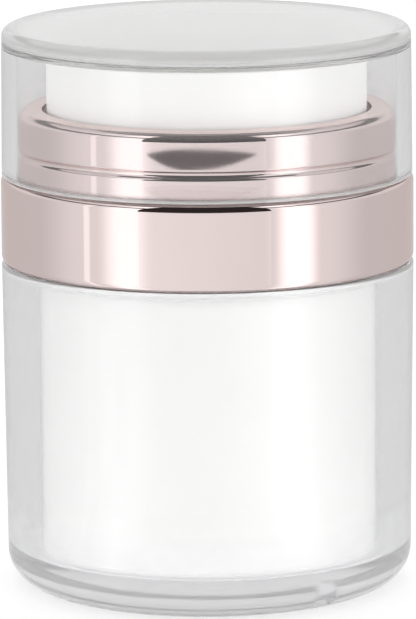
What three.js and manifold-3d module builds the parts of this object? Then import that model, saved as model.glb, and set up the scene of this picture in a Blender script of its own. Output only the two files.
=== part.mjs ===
// Airless pump jar for face cream, built as its separate pieces: a heavy clear jar round a white cup
// with a rising piston, a metallised collar that screws on and carries the pump, a wide press button
// and a clear overcap. Millimetres, +Z up, origin at the centre of the foot, front facing -Y.

import * as THREE from 'three';
import { mergeVertices } from 'three/addons/utils/BufferGeometryUtils.js';
import Module from 'manifold-3d';

const wasm = await Module();
wasm.setup();

// Facets of turned pieces, and how deep a rib sinks into the wall that it joins
const ROUND = 40;
const SMALL_ROUND = 24;
const CORNER_STEPS = 2;
const CAP_STEPS = 4;
const FOOT_STEPS = 5;
const MERGE_DISTANCE = 1e-4;
const JOIN = 0.3;

// Inner cup
const CUP_BORE = 23.5;
const CUP_WALL = 1.6;
const CUP_FLOOR = 1.5;
const CUP_CORNER = 1.2;
const CUP_RIM = 1.2;
const CUP_RIM_SET_BACK = 0.7;
const CUP_VENT = 1.5;
const CUP_SIDE_GAP = 0.4;
const CUP_FLOOR_GAP = 0.3;

// Outer jar
const JAR_HEIGHT = 49.4;
const JAR_FLOOR = 5.5;
const JAR_DRAFT = 0.5;
const JAR_FOOT_ROUND = 5.6;
const JAR_SHOULDER_ROUND = 0.6;
const JAR_INNER_ROUND = 1.0;
const FOOT_RING = 2.8;
const FOOT_RECESS = 0.9;
const FOOT_RECESS_SLOPE = 0.5;
const NECK_WALL = 1.6;
const NECK_LIP = 0.25;
const NOTCH_ANGLE = THREE.MathUtils.degToRad(-54);
const NOTCH_WIDTH = 3.2;
const NOTCH_LENGTH = 1.6;
const NOTCH_DEPTH = 5.0;
const NOTCH_SET_BACK = 1.2;

// Screw thread between jar and collar
const THREAD_PITCH = 3.0;
const THREAD_TURNS = 1.25;
const THREAD_DEPTH = 0.9;
const THREAD_ROOT = 1.1;
const THREAD_CREST = 0.7;
const THREAD_CLEARANCE = 0.3;
const THREAD_RUN_OUT = 1 / 12;
const THREAD_SINK = 0.3;
const THREAD_LEAD = 0.15;

// Rising piston under the cream
const FOLLOWER_FIT = 0.1;
const FOLLOWER_WALL = 1.2;
const FOLLOWER_LIFT = 1.0;
const FOLLOWER_LIP = 1.3;
const FOLLOWER_LIP_WIDTH = 0.8;
const FOLLOWER_WAIST = 0.5;
const FOLLOWER_SKIRT = 1.5;
const WELL_GAP = 1.0;
const WELL_SPARE = 0.5;

// Seal and pump flange, clamped on the cup rim
const GASKET = 1.0;
const GASKET_INSET = 0.7;
const GASKET_SET_BACK = 0.2;
const PUMP_FLANGE = 1.4;

// Collar: threaded core inside, metallised sleeve outside
const SHOULDER_GAP = 0.1;
const CORE_SET_UP = 0.5;
const CORE_WALL = 1.0;
const CORE_GAP = 0.3;
const CORE_WEB = 1.3;
const CORE_WEB_REACH = 8.3;
const BEAD_CLEARANCE = 0.2;
const BEAD_CATCH = 0.3;
const BEAD_GAP = 0.3;
const BEAD_HEIGHT = 0.5;
const BAND_WALL = 1.4;
const BAND_BOTTOM_ROUND = 1.0;
const BAND_TOP_ROUND = 1.2;
const LEDGE = 1.4;
const COLLAR_HEIGHT = 10.2;
const COLLAR_WALL = 1.5;
const COLLAR_PLATE = 1.5;
const COLLAR_TOP_ROUND = 1.4;
const COLLAR_HOLE_ROUND = 0.2;
const GROOVE_RISE = 3.3;
const GROOVE_WIDTH = 1.3;
const GROOVE_DEPTH = 0.6;
const GROOVE_FLARE = 0.5;

// Overcap
const CAP_SET_BACK = 0.15;
const CAP_WALL = 2.2;
const CAP_FIT = 0.25;
const CAP_HEADROOM = 0.8;
const CAP_PLATE = 2.4;
const CAP_CROWN = 0.2;
const CAP_DRAFT = 0.2;
const CAP_ROUND = 1.5;
const CAP_INNER_ROUND = 1.0;
const CAP_RIM_ROUND = 0.15;

// Press button
const FLANGE_GAP = 0.6;
const FLANGE_CATCH = 1.65;
const FLANGE_REST = 0.3;
const BUTTON_GAP = 0.65;
const BUTTON_FLANGE = 1.4;
const BUTTON_RISE = 8.8;
const BUTTON_WALL = 1.5;
const BUTTON_RIM = 1.8;
const BUTTON_ROUND = 0.8;
const BUTTON_PLATE = 1.5;
const DISH_DEPTH = 1.0;
const OUTLET = 1.7;
const BOSS_WALL = 1.65;
const BUTTON_RIBS = 6;
const BUTTON_RIB_DEPTH = 4.0;
const BUTTON_RIB_CLEARANCE = 1.05;
const RIB_WIDTH = 1.0;
const STROKE = 5.0;
const STROKE_SPARE = 0.4;

// Pump housing and the lock ring on top of its chamber
const CHAMBER_BORE = 5.2;
const CHAMBER_WALL = 1.2;
const CHAMBER_RISE = 7.4;
const CHAMBER_FLOOR = 1.2;
const CHAMBER_SPARE = 1.0;
const STUB_WALL = 1.3;
const PUMP_RIBS = 6;
const PUMP_RIB_HEIGHT = 3.0;
const PUMP_RIB_CLEARANCE = 1.0;
const LOCK_FLANGE = 1.0;
const LOCK_LIP = 0.45;
const LOCK_PLUG = 0.9;
const LOCK_FIT = 0.1;

// Inlet ball in its seat
const BALL_RADIUS = 1.5;
const BALL_SIDES = 16;
const BALL_RINGS = 10;
const BALL_LIFT = 0.7;
const SEAT_GAP = 0.15;
const PORT = 1.0;
const PORT_LENGTH = 1.0;
const POCKET_GAP = 0.4;
const NUBS = 3;
const NUB_REACH = 0.6;
const NUB_HEIGHT = 0.5;
const NUB_WIDTH = 0.8;
const NUB_CLEARANCE = 0.1;

// Stem, piston rod, piston and outlet valve
const STEM_RADIUS = 2.6;
const STEM_BORE = 1.4;
const STEM_FIT = 0.15;
const STEM_REST = 0.3;
const STEM_FLANGE = 0.9;
const STEM_STEP = 1.0;
const ROD_RADIUS = 1.9;
const ROD_HEAD = 0.9;
const ROD_STEP = 1.5;
const ROD_PLUG = 3.0;
const ROD_PLUG_FIT = 0.1;
const FLUTES = 3;
const FLUTE_WIDTH = 0.7;
const FLUTE_CORE = 0.75;
const FLUTE_DROP = 1.0;
const PISTON_HEIGHT = 3.2;
const PISTON_SLIP = 0.8;
const PISTON_FIT = 0.1;
const PISTON_PLAY = 0.2;
const PISTON_LIP = 0.7;
const PISTON_WAIST = 0.4;
const VALVE_FLANGE = 0.8;
const VALVE_FIT = 0.25;
const VALVE_NECK_GAP = 0.2;
const VALVE_WALL = 0.6;
const VALVE_SKIN = 0.5;
const SLIT_LENGTH = 1.4;
const SLIT_WIDTH = 0.25;

// Return spring
const SPRING_WIRE = 0.45;
const SPRING_GAP = 0.65;
const SPRING_TURNS = 6;
const SPRING_CLOSED_GAP = 0.45;
const SPRING_SEAT_GAP = 0.1;
const SPRING_STEPS = 16;
const SPRING_SIDES = 6;

// Radii, from the cup outwards and from the overcap inwards
const cupRadius = CUP_BORE + CUP_WALL;
const jarBore = cupRadius + CUP_SIDE_GAP;
const neckRadius = jarBore + NECK_WALL;
const rimRadius = neckRadius - CUP_RIM_SET_BACK;
const threadCrest = neckRadius + THREAD_DEPTH;
const coreBore = threadCrest + THREAD_CLEARANCE;
const coreRadius = coreBore + CORE_WALL;
const webBore = coreRadius - CORE_WEB_REACH;
const beadBore = rimRadius + BEAD_CLEARANCE;
const pumpFlangeRadius = beadBore + BEAD_CATCH;
const bandBore = coreRadius + CORE_GAP;
const bandRadius = bandBore + BAND_WALL;
const footRadius = bandRadius - JAR_DRAFT;
const recessRadius = footRadius - JAR_FOOT_ROUND - FOOT_RING;
const capRadius = bandRadius - CAP_SET_BACK;
const capBore = capRadius - CAP_WALL;
const collarRadius = capBore - CAP_FIT;
const collarBore = collarRadius - COLLAR_WALL;
const buttonFlangeRadius = collarBore - FLANGE_GAP;
const holeRadius = buttonFlangeRadius - FLANGE_CATCH;
const buttonRadius = holeRadius - BUTTON_GAP;
const buttonBore = buttonRadius - BUTTON_WALL;
const bossBore = STEM_RADIUS + STEM_FIT;
const bossRadius = bossBore + BOSS_WALL;
const springRadius = bossRadius + SPRING_GAP + SPRING_WIRE;
const springOuter = springRadius + SPRING_WIRE;
const chamberRadius = CHAMBER_BORE + CHAMBER_WALL;
const pocketRadius = BALL_RADIUS + POCKET_GAP;

// Heights of the screwed joint: jar shoulder, thread, clamped rim, seal and pump flange
const cupUnder = JAR_FLOOR + CUP_FLOOR_GAP;
const cupFloorTop = cupUnder + CUP_FLOOR;
const bandBottom = JAR_HEIGHT + SHOULDER_GAP;
const coreBottom = bandBottom + CORE_SET_UP;
const threadStart = coreBottom + THREAD_LEAD + THREAD_ROOT / 2 + THREAD_PITCH / 4;
const neckTop = threadStart + THREAD_TURNS * THREAD_PITCH + THREAD_ROOT / 2 + NECK_LIP;
const rimTop = neckTop + CUP_RIM;
const gasketTop = rimTop + GASKET;
const beadTop = gasketTop - BEAD_GAP;
const pumpFlangeTop = gasketTop + PUMP_FLANGE;
const webTop = pumpFlangeTop + CORE_WEB;
const ledgeUnder = webTop + CORE_GAP;
const ledge = ledgeUnder + LEDGE;

// Heights of the collar, button and overcap
const collarTop = ledge + COLLAR_HEIGHT;
const plateUnder = collarTop - COLLAR_PLATE;
const flangeTop = plateUnder - FLANGE_REST;
const buttonBottom = flangeTop - BUTTON_FLANGE;
const buttonTop = collarTop + BUTTON_RISE;
const dishTop = buttonTop - DISH_DEPTH;
const dishUnder = dishTop - BUTTON_PLATE;
const capUnder = buttonTop + CAP_HEADROOM;
const capTop = capUnder + CAP_PLATE;

// Heights inside the pump, from the lock ring down to the inlet
const chamberTop = pumpFlangeTop + CHAMBER_RISE;
const lockTop = chamberTop + LOCK_FLANGE;
const lockBottom = chamberTop - LOCK_PLUG;
const bossBottom = lockTop + STROKE + STROKE_SPARE;
const stemTop = dishUnder - VALVE_FLANGE;
const stemFlangeTop = lockBottom - STEM_REST;
const stemBottom = stemFlangeTop - STEM_FLANGE;
const pistonTop = stemBottom - PISTON_SLIP;
const pistonBottom = pistonTop - PISTON_HEIGHT;
const rodBottom = pistonBottom - ROD_HEAD;
const chamberFloorTop = rodBottom - STROKE - CHAMBER_SPARE;
const chamberUnder = chamberFloorTop - CHAMBER_FLOOR;

// The ball lifts until it meets the nubs, and drops onto a cone of 45 degrees: cone radius = height - coneApex
const nubOpening = pocketRadius - NUB_REACH;
const nubBottom = chamberFloorTop - NUB_HEIGHT;
const ballLifted = nubBottom - Math.sqrt(BALL_RADIUS ** 2 - (nubOpening - NUB_CLEARANCE) ** 2);
const ballCentre = ballLifted - BALL_LIFT;
const coneApex = ballCentre - Math.SQRT2 * (BALL_RADIUS + SEAT_GAP);
const stubBottom = coneApex + PORT - PORT_LENGTH;

// Points of a closed profile with rounded corners. A corner is [radius, height, rounding, steps].
function outline(corners) {
  const corner = (i) => corners.at(i % corners.length);
  const spot = (i) => new THREE.Vector2(...corner(i).slice(0, 2));
  return corners.flatMap(([, , round = 0, steps = CORNER_STEPS], i) => {
    const tip = spot(i);
    if (!round) return [tip];
    const back = spot(i - 1).sub(tip);
    const ahead = spot(i + 1).sub(tip);
    const half = back.angleTo(ahead) / 2;
    const room = (k, edge) => edge.length() * (corner(k)[2] ? 0.49 : 0.98);
    const reach = Math.min(round / Math.tan(half), room(i - 1, back), room(i + 1, ahead));
    const turn = Math.sign(ahead.cross(back)) * (Math.PI - 2 * half);
    const start = tip.clone().addScaledVector(back.normalize(), reach);
    const middle = back.clone().add(ahead.normalize()).normalize();
    const centre = tip.clone().addScaledVector(middle, reach / Math.cos(half));
    return Array.from({ length: steps + 1 }, (_, k) => {
      return start.clone().rotateAround(centre, (turn * k) / steps);
    });
  });
}

// A profile, anticlockwise in radius and height, turned round the Z axis.
function turned(corners, segments = ROUND) {
  const points = outline(corners);
  if (points[0].x > 0) points.push(points[0].clone());
  return new THREE.LatheGeometry(points, segments).rotateX(Math.PI / 2);
}

// A box that points away from the Z axis, between two radii and two heights.
function radialBlock({ angle, inner, outer, bottom, top, width }) {
  const box = new THREE.BoxGeometry(outer - inner, width, top - bottom);
  return box.translate((inner + outer) / 2, 0, (bottom + top) / 2).rotateZ(angle);
}

// A screw rib: a trapezoid carried up a helix, its tip rising out of the wall and sinking back at the
// ends. A crest smaller than the root makes a rib that faces inwards.
function threadRib({ root, crest, angle, height }) {
  const outwards = Math.sign(crest - root);
  const base = root - outwards * THREAD_SINK;
  const buried = root - (outwards * THREAD_SINK) / 2;
  const steps = Math.round(THREAD_TURNS * ROUND);
  const vertices = Array.from({ length: steps + 1 }, (_, i) => {
    const turn = (THREAD_TURNS * i) / steps;
    const rise = Math.min(1, turn / THREAD_RUN_OUT, (THREAD_TURNS - turn) / THREAD_RUN_OUT);
    const tip = THREE.MathUtils.lerp(buried, crest, rise);
    const section = [
      [base, -THREAD_ROOT / 2],
      [tip, -THREAD_CREST / 2],
      [tip, THREAD_CREST / 2],
      [base, THREAD_ROOT / 2],
    ];
    if (outwards < 0) section.reverse();
    const along = angle + 2 * Math.PI * turn;
    const middle = height + THREAD_PITCH * turn;
    return section.map(([r, z]) => [r * Math.cos(along), r * Math.sin(along), middle + z]);
  });
  const sides = Array.from({ length: 4 * steps }, (_, a) => {
    const b = a - (a % 4) + ((a + 1) % 4);
    return [a, a + 4, b, a + 4, b + 4, b];
  });
  const end = 4 * steps;
  const caps = [0, 1, 2, 0, 2, 3, end, end + 2, end + 1, end, end + 3, end + 2];
  const geometry = new THREE.BufferGeometry();
  geometry.setAttribute('position', new THREE.Float32BufferAttribute(vertices.flat(2), 3));
  geometry.setIndex([...sides.flat(), ...caps]);
  return geometry;
}

// A closed solid from a geometry, with its shared vertices merged and its empty triangles left out.
function solid(geometry) {
  const bare = geometry.clone();
  bare.deleteAttribute('normal');
  bare.deleteAttribute('uv');
  const merged = mergeVertices(bare, MERGE_DISTANCE);
  const triangles = Array.from({ length: merged.index.count / 3 }, (_, k) => {
    return [...merged.index.array.slice(3 * k, 3 * k + 3)];
  });
  const triVerts = Uint32Array.from(triangles.filter((t) => new Set(t).size === 3).flat());
  const vertProperties = merged.attributes.position.array;
  return new wasm.Manifold(new wasm.Mesh({ numProp: 3, vertProperties, triVerts }));
}

// The geometry of a solid.
function geometryOf(body) {
  const { vertProperties, triVerts } = body.getMesh();
  const geometry = new THREE.BufferGeometry();
  geometry.setAttribute('position', new THREE.BufferAttribute(vertProperties, 3));
  geometry.setIndex(new THREE.BufferAttribute(triVerts, 1));
  geometry.computeVertexNormals();
  return geometry;
}

// Copies of a radial block, evenly spaced round the Z axis, as solids.
function blocksAround(count, block) {
  return Array.from({ length: count }, (_, k) => {
    return solid(radialBlock({ ...block, angle: (2 * Math.PI * k) / count }));
  });
}

const joined = (body, extras) => extras.reduce((sum, extra) => sum.add(extra), body);
const cut = (body, tools) => tools.reduce((rest, tool) => rest.subtract(tool), body);

// Thick clear jar: threaded neck, rounded foot with a shallow recess, and an index notch in the foot.
function outerJar() {
  const body = turned([
    [0, FOOT_RECESS],
    [recessRadius - FOOT_RECESS_SLOPE, FOOT_RECESS],
    [recessRadius, 0],
    [footRadius, 0, JAR_FOOT_ROUND, FOOT_STEPS],
    [bandRadius, JAR_HEIGHT, JAR_SHOULDER_ROUND],
    [neckRadius, JAR_HEIGHT],
    [neckRadius, neckTop],
    [jarBore, neckTop],
    [jarBore, JAR_FLOOR, JAR_INNER_ROUND],
    [0, JAR_FLOOR],
  ]);
  const thread = threadRib({ root: neckRadius, crest: threadCrest, angle: 0, height: threadStart });
  const notch = radialBlock({
    angle: NOTCH_ANGLE,
    inner: footRadius - NOTCH_SET_BACK - NOTCH_LENGTH,
    outer: footRadius - NOTCH_SET_BACK,
    bottom: -JOIN,
    top: NOTCH_DEPTH,
    width: NOTCH_WIDTH,
  });
  return geometryOf(solid(body).add(solid(thread)).subtract(solid(notch)));
}

// White cup that holds the cream. Its rim lies on the jar's neck, and its floor has an air vent.
function innerCup() {
  return turned([
    [CUP_VENT, cupUnder],
    [cupRadius, cupUnder, CUP_CORNER],
    [cupRadius, neckTop],
    [rimRadius, neckTop],
    [rimRadius, rimTop],
    [CUP_BORE, rimTop],
    [CUP_BORE, cupFloorTop],
    [CUP_VENT, cupFloorTop],
  ]);
}

// Piston that rises under the cream, in its own heights above the cup floor. Its middle is a well that
// takes the pump's inlet at the top of its travel.
function followerPiston() {
  const lip = CUP_BORE - FOLLOWER_FIT;
  const waist = lip - FOLLOWER_WAIST;
  const skirtBore = waist - FOLLOWER_WALL;
  const wellRadius = chamberRadius + WELL_GAP;
  const wellFloor = FOLLOWER_LIFT + FOLLOWER_WALL;
  const plateTop = wellFloor + gasketTop - stubBottom + WELL_SPARE;
  const plateUnderside = plateTop - FOLLOWER_WALL;
  const lipTop = plateTop + FOLLOWER_LIP;
  return turned([
    [0, FOLLOWER_LIFT],
    [wellRadius + FOLLOWER_WALL, FOLLOWER_LIFT],
    [wellRadius + FOLLOWER_WALL, plateUnderside],
    [skirtBore, plateUnderside],
    [skirtBore, FOLLOWER_SKIRT],
    [lip - FOLLOWER_LIP_WIDTH, 0],
    [lip, 0],
    [waist, FOLLOWER_SKIRT],
    [waist, plateTop],
    [lip, lipTop],
    [lip - FOLLOWER_LIP_WIDTH, lipTop],
    [skirtBore, plateTop],
    [wellRadius, plateTop],
    [wellRadius, wellFloor],
    [0, wellFloor],
  ]);
}

// Flat sealing ring between the cup rim and the pump flange.
function pumpGasket() {
  return turned([
    [CUP_BORE + GASKET_INSET, rimTop],
    [rimRadius - GASKET_SET_BACK, rimTop],
    [rimRadius - GASKET_SET_BACK, gasketTop],
    [CUP_BORE + GASKET_INSET, gasketTop],
  ]);
}

// Metallised outer sleeve: the wide band over the jar's shoulder, the ledge that the overcap stands
// on, and the narrower collar with its groove and its hole for the button.
function collarSleeve() {
  const grooveBottom = ledge + GROOVE_RISE;
  const grooveTop = grooveBottom + GROOVE_WIDTH;
  return turned([
    [bandBore, bandBottom],
    [bandRadius, bandBottom, BAND_BOTTOM_ROUND],
    [bandRadius, ledge, BAND_TOP_ROUND],
    [collarRadius, ledge],
    [collarRadius, grooveBottom],
    [collarRadius - GROOVE_DEPTH, grooveBottom + GROOVE_FLARE],
    [collarRadius - GROOVE_DEPTH, grooveTop - GROOVE_FLARE],
    [collarRadius, grooveTop],
    [collarRadius, collarTop, COLLAR_TOP_ROUND],
    [holeRadius, collarTop, COLLAR_HOLE_ROUND],
    [holeRadius, plateUnder],
    [collarBore, plateUnder],
    [collarBore, ledgeUnder],
    [bandBore, ledgeUnder],
  ]);
}

// Plain threaded core pressed into the sleeve. Its web holds the pump flange down, and a bead under
// the flange keeps the pump in the collar when it is unscrewed.
function collarCore() {
  const body = turned([
    [coreBore, coreBottom],
    [coreRadius, coreBottom],
    [coreRadius, webTop],
    [webBore, webTop],
    [webBore, pumpFlangeTop],
    [coreBore, pumpFlangeTop],
    [coreBore, beadTop],
    [beadBore, beadTop],
    [beadBore, beadTop - BEAD_HEIGHT],
    [coreBore, beadTop - BEAD_HEIGHT],
  ]);
  const thread = threadRib({
    root: coreBore,
    crest: neckRadius + THREAD_CLEARANCE,
    angle: Math.PI / 2,
    height: threadStart - THREAD_PITCH / 4,
  });
  return geometryOf(solid(body).add(solid(thread)));
}

// Pump housing: a wide flange, a chamber through its middle with bracing ribs, and an inlet stub with
// the cone and nubs that cage the ball.
function pumpHousing() {
  const body = turned([
    [PORT, stubBottom],
    [pocketRadius + STUB_WALL, stubBottom],
    [pocketRadius + STUB_WALL, chamberUnder],
    [chamberRadius, chamberUnder],
    [chamberRadius, gasketTop],
    [pumpFlangeRadius, gasketTop],
    [pumpFlangeRadius, pumpFlangeTop],
    [chamberRadius, pumpFlangeTop],
    [chamberRadius, chamberTop],
    [CHAMBER_BORE, chamberTop],
    [CHAMBER_BORE, chamberFloorTop],
    [pocketRadius, chamberFloorTop],
    [pocketRadius, coneApex + pocketRadius],
    [PORT, coneApex + PORT],
  ]);
  const ribs = blocksAround(PUMP_RIBS, {
    inner: chamberRadius - JOIN,
    outer: webBore - PUMP_RIB_CLEARANCE,
    bottom: pumpFlangeTop - JOIN,
    top: pumpFlangeTop + PUMP_RIB_HEIGHT,
    width: RIB_WIDTH,
  });
  const nubs = blocksAround(NUBS, {
    inner: nubOpening,
    outer: pocketRadius + JOIN,
    bottom: nubBottom,
    top: chamberFloorTop,
    width: NUB_WIDTH,
  });
  return geometryOf(joined(solid(body), [...ribs, ...nubs]));
}

// Ring that closes the chamber round the stem and carries the spring.
function lockRing() {
  const plugRadius = CHAMBER_BORE - LOCK_FIT;
  return turned([
    [bossBore, lockBottom],
    [plugRadius, lockBottom],
    [plugRadius, chamberTop],
    [springOuter + LOCK_LIP, chamberTop],
    [springOuter + LOCK_LIP, lockTop],
    [bossBore, lockTop],
  ], SMALL_ROUND);
}

// Centre line of the return spring above its seat, with one closed turn at each end.
class SpringCurve extends THREE.Curve {
  getPoint(t, target = new THREE.Vector3()) {
    const length = dishUnder - lockTop - 2 * (SPRING_SEAT_GAP + SPRING_WIRE);
    const closedPitch = 2 * SPRING_WIRE + SPRING_CLOSED_GAP;
    const openTurns = SPRING_TURNS - 2;
    const openPitch = (length - 2 * closedPitch) / openTurns;
    const turn = SPRING_TURNS * t;
    const opened = THREE.MathUtils.clamp(turn - 1, 0, openTurns);
    const height = SPRING_SEAT_GAP + SPRING_WIRE + openPitch * opened + closedPitch * (turn - opened);
    const angle = 2 * Math.PI * turn;
    return target.set(springRadius * Math.cos(angle), springRadius * Math.sin(angle), height);
  }
}

// Round wire coiled on the centre line. Points half a turn apart or more give its least gap to itself.
function returnSpring() {
  const curve = new SpringCurve();
  const steps = SPRING_TURNS * SPRING_STEPS;
  const points = curve.getPoints(steps);
  const gaps = points.flatMap((point, i) => {
    return points.slice(i + SPRING_STEPS / 2).map((other) => point.distanceTo(other) - 2 * SPRING_WIRE);
  });
  console.log(`return_spring least gap to itself ${Math.min(...gaps).toFixed(2)} mm`);
  const wire = new THREE.Shape(Array.from({ length: SPRING_SIDES }, (_, k) => {
    const angle = (2 * Math.PI * k) / SPRING_SIDES;
    return new THREE.Vector2(SPRING_WIRE * Math.cos(angle), SPRING_WIRE * Math.sin(angle));
  }));
  return new THREE.ExtrudeGeometry(wire, { steps, extrudePath: curve, bevelEnabled: false });
}

// Wide button: a flange held under the collar plate, a dished top with the outlet in its middle, and
// ribs and a boss for the stem underneath.
function pressButton() {
  const body = turned([
    [buttonBore, buttonBottom],
    [buttonFlangeRadius, buttonBottom],
    [buttonFlangeRadius, flangeTop],
    [buttonRadius, flangeTop],
    [buttonRadius, buttonTop, BUTTON_ROUND],
    [buttonRadius - BUTTON_RIM, buttonTop, BUTTON_RIM],
    [OUTLET, dishTop],
    [OUTLET, dishUnder],
    [bossBore, dishUnder],
    [bossBore, bossBottom],
    [bossRadius, bossBottom],
    [bossRadius, dishUnder],
    [buttonBore, dishUnder],
  ]);
  const ribs = blocksAround(BUTTON_RIBS, {
    inner: springOuter + BUTTON_RIB_CLEARANCE,
    outer: buttonBore + JOIN,
    bottom: dishUnder - BUTTON_RIB_DEPTH,
    top: dishUnder + JOIN,
    width: RIB_WIDTH,
  });
  return geometryOf(joined(solid(body), ribs));
}

// Soft outlet valve in the button's middle: a flanged plug whose thin top has a slit.
function outletValve() {
  const flange = bossBore - VALVE_FIT;
  const neck = OUTLET - VALVE_NECK_GAP;
  const bore = neck - VALVE_WALL;
  const skinUnder = dishTop - VALVE_SKIN;
  const body = turned([
    [0, skinUnder],
    [bore, skinUnder],
    [bore, stemTop],
    [flange, stemTop],
    [flange, dishUnder],
    [neck, dishUnder],
    [neck, dishTop],
    [0, dishTop],
  ], SMALL_ROUND);
  const slit = new THREE.BoxGeometry(SLIT_LENGTH, SLIT_WIDTH, 2 * VALVE_SKIN + 2 * JOIN);
  return geometryOf(solid(body).subtract(solid(slit.translate(0, 0, dishTop - VALVE_SKIN / 2))));
}

// Hollow stem, plugged into the button's boss and kept in the chamber by its flange.
function stem() {
  return turned([
    [STEM_BORE, stemBottom],
    [STEM_RADIUS + STEM_STEP, stemBottom],
    [STEM_RADIUS + STEM_STEP, stemFlangeTop],
    [STEM_RADIUS, stemFlangeTop],
    [STEM_RADIUS, stemTop],
    [STEM_BORE, stemTop],
  ], SMALL_ROUND);
}

// Rod plugged into the stem: a head that the piston seats on, and flutes that let cream into the stem.
function pistonRod() {
  const plugRadius = STEM_BORE - ROD_PLUG_FIT;
  const plugTop = stemBottom + ROD_PLUG;
  const body = turned([
    [0, rodBottom],
    [ROD_RADIUS + ROD_STEP, rodBottom],
    [ROD_RADIUS + ROD_STEP, pistonBottom],
    [ROD_RADIUS, pistonBottom],
    [ROD_RADIUS, stemBottom],
    [plugRadius, stemBottom],
    [plugRadius, plugTop],
    [0, plugTop],
  ], SMALL_ROUND);
  const flutes = blocksAround(FLUTES, {
    inner: FLUTE_CORE,
    outer: ROD_RADIUS + JOIN,
    bottom: stemBottom - FLUTE_DROP,
    top: plugTop + JOIN,
    width: FLUTE_WIDTH,
  });
  return geometryOf(cut(solid(body), flutes));
}

// Piston that slips a little along the rod, with a wiping lip at each end.
function pumpPiston() {
  const bore = ROD_RADIUS + PISTON_PLAY;
  const lip = CHAMBER_BORE - PISTON_FIT;
  const waist = lip - PISTON_WAIST;
  return turned([
    [bore, pistonBottom],
    [lip, pistonBottom],
    [lip, pistonBottom + PISTON_LIP],
    [waist, pistonBottom + PISTON_LIP + PISTON_WAIST],
    [waist, pistonTop - PISTON_LIP - PISTON_WAIST],
    [lip, pistonTop - PISTON_LIP],
    [lip, pistonTop],
    [bore, pistonTop],
  ], SMALL_ROUND);
}

// Thick clear cap, in its own heights above the ledge that it stands on.
function overcap() {
  return turned([
    [0, capUnder - ledge],
    [capBore - CAP_DRAFT, capUnder - ledge, CAP_INNER_ROUND, CAP_STEPS],
    [capBore, 0],
    [capRadius, 0, CAP_RIM_ROUND],
    [capRadius - CAP_DRAFT, capTop - ledge, CAP_ROUND, CAP_STEPS],
    [0, capTop + CAP_CROWN - ledge],
  ]);
}

const CLEAR = { color: 0xe9eff1, roughness: 0.04, metalness: 0, transparent: true, opacity: 0.3 };
const WHITE = { color: 0xf4f4f2, roughness: 0.35, metalness: 0 };
const ROSE_GOLD = { color: 0xdec9c6, roughness: 0.12, metalness: 1 };
const NATURAL = { color: 0xe4e4de, roughness: 0.55, metalness: 0 };
const SOFT_SEAL = { color: 0xefece6, roughness: 0.8, metalness: 0 };
const STEEL = { color: 0xc4c6c8, roughness: 0.3, metalness: 1 };

function piece(name, geometry, finish, height = 0) {
  const mesh = new THREE.Mesh(geometry, new THREE.MeshStandardMaterial(finish));
  mesh.name = name;
  mesh.position.z = height;
  return mesh;
}

const jar = new THREE.Group().add(
  piece('outer_jar', outerJar(), CLEAR),
  piece('inner_cup', innerCup(), WHITE),
  piece('follower_piston', followerPiston(), NATURAL, cupFloorTop),
);

const actuator = new THREE.Group().add(
  piece('press_button', pressButton(), WHITE),
  piece('outlet_valve', outletValve(), SOFT_SEAL),
  piece('stem', stem(), NATURAL),
  piece('piston_rod', pistonRod(), NATURAL),
  piece('pump_piston', pumpPiston(), NATURAL),
);

const closure = new THREE.Group().add(
  piece('pump_gasket', pumpGasket(), SOFT_SEAL),
  piece('collar_sleeve', collarSleeve(), ROSE_GOLD),
  piece('collar_core', collarCore(), NATURAL),
  piece('pump_housing', pumpHousing(), NATURAL),
  piece('lock_ring', lockRing(), NATURAL),
  piece('return_spring', returnSpring(), STEEL, lockTop),
  piece('inlet_ball', new THREE.SphereGeometry(BALL_RADIUS, BALL_SIDES, BALL_RINGS), STEEL, ballCentre),
  piece('overcap', overcap(), CLEAR, ledge),
  actuator,
);

const pumpJar = new THREE.Group().add(jar, closure);
pumpJar.name = 'pump_jar';

export default pumpJar;
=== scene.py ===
import math

import bpy
import numpy as np
from mathutils import Matrix, Vector


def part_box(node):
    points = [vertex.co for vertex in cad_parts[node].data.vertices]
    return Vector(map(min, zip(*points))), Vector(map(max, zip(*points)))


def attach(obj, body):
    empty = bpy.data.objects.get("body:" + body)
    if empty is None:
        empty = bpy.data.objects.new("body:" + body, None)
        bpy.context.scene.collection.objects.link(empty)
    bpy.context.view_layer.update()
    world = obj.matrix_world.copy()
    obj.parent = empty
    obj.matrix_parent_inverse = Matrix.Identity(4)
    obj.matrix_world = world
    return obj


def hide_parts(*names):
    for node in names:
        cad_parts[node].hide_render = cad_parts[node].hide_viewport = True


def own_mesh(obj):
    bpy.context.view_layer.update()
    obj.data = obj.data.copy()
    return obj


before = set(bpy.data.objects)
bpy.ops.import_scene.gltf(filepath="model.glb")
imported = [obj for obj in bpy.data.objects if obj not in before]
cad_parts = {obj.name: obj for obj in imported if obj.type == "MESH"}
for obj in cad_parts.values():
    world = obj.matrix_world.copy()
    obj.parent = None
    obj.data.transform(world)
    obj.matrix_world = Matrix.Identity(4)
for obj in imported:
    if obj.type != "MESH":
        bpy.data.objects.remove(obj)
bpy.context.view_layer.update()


# Outer jar: a heavy body moulded in clear acrylic and polished, with faint haze in its thick foot and at its
# shoulder. Its neck carries the screw thread, and a blind notch in the foot keys it for decorating.
# The pieces' lengths are in millimetres, which MM turns into the frame's metres, and the studio's in metres.
MM = 0.001
JAR_RECESS_RADIUS = 22.1
JAR_RECESS_SLOPE = 0.5
JAR_RECESS_DEPTH = 0.9
JAR_FOOT_RADIUS = 30.5
JAR_FOOT_ROUND = 5.6
JAR_SHOULDER_RADIUS = 31.0
JAR_SHOULDER = 49.4
JAR_SHOULDER_ROUND = 0.6
JAR_NECK_RADIUS = 27.1
JAR_NECK_TOP = 56.0
JAR_BORE = 25.5
JAR_FLOOR = 5.5
JAR_FLOOR_ROUND = 1.0
JAR_FOOT_HAZE = (13.0, 5.0)
JAR_SHOULDER_HAZE = (48.2, 48.8)

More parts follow.
